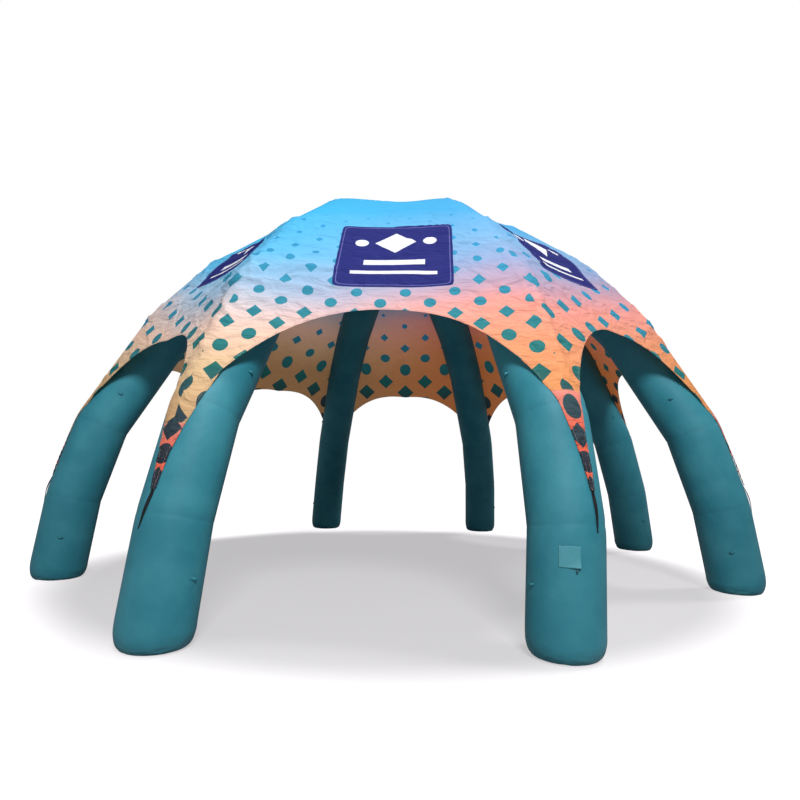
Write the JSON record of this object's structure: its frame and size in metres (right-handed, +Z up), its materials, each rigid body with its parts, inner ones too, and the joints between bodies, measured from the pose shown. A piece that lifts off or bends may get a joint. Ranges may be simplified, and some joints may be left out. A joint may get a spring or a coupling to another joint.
{
  "type": "inflatable spider tent",
  "caption": "Open dome tent: air-filled legs arch from feet to a hub and carry one printed canopy whose hem sweeps up into an archway between neighbouring legs.",
  "frame": {"origin": "on the ground, at the middle of the box round the feet, under the hub", "axes": "+Z up; -Y out through the front archway; +X to the right of somebody who looks in at the front"},
  "size_m": [9.3382, 9.2865, 5.2136],
  "materials": {
    "teal_coated_fabric": "matt coated weave, air-tight, with a faint sheen",
    "printed_canopy_cloth": "thin polyester printed in a sky-to-sand fade with small discs and diamonds; light shows through it",
    "black_webbing": "woven polyester webbing",
    "dark_valve_plastic": "moulded, satin"
  },
  "bodies": {
    "root": {"canopy": "printed_canopy_cloth", "hub": "teal_coated_fabric", "leg_1": "teal_coated_fabric", "leg_2": "teal_coated_fabric", "leg_3": "teal_coated_fabric", "leg_4": "teal_coated_fabric", "leg_5": "teal_coated_fabric", "leg_6": "teal_coated_fabric", "leg_7": "teal_coated_fabric", "leg_8": "teal_coated_fabric", "strap_1": "black_webbing", "strap_2": "black_webbing", "strap_3": "black_webbing", "strap_4": "black_webbing", "strap_5": "black_webbing", "strap_6": "black_webbing", "strap_7": "black_webbing", "strap_8": "black_webbing", "loop_1_lower": "teal_coated_fabric", "loop_1_upper": "teal_coated_fabric", "loop_2_lower": "teal_coated_fabric", "loop_2_upper": "teal_coated_fabric", "loop_3_lower": "teal_coated_fabric", "loop_3_upper": "teal_coated_fabric", "loop_4_lower": "teal_coated_fabric", "loop_4_upper": "teal_coated_fabric", "loop_5_lower": "teal_coated_fabric", "loop_5_upper": "teal_coated_fabric", "loop_6_lower": "teal_coated_fabric", "loop_6_upper": "teal_coated_fabric", "loop_7_lower": "teal_coated_fabric", "loop_7_upper": "teal_coated_fabric", "loop_8_lower": "teal_coated_fabric", "loop_8_upper": "teal_coated_fabric", "valve_flap": "teal_coated_fabric", "valve_stem": "dark_valve_plastic"}
  },
  "joints": []
}
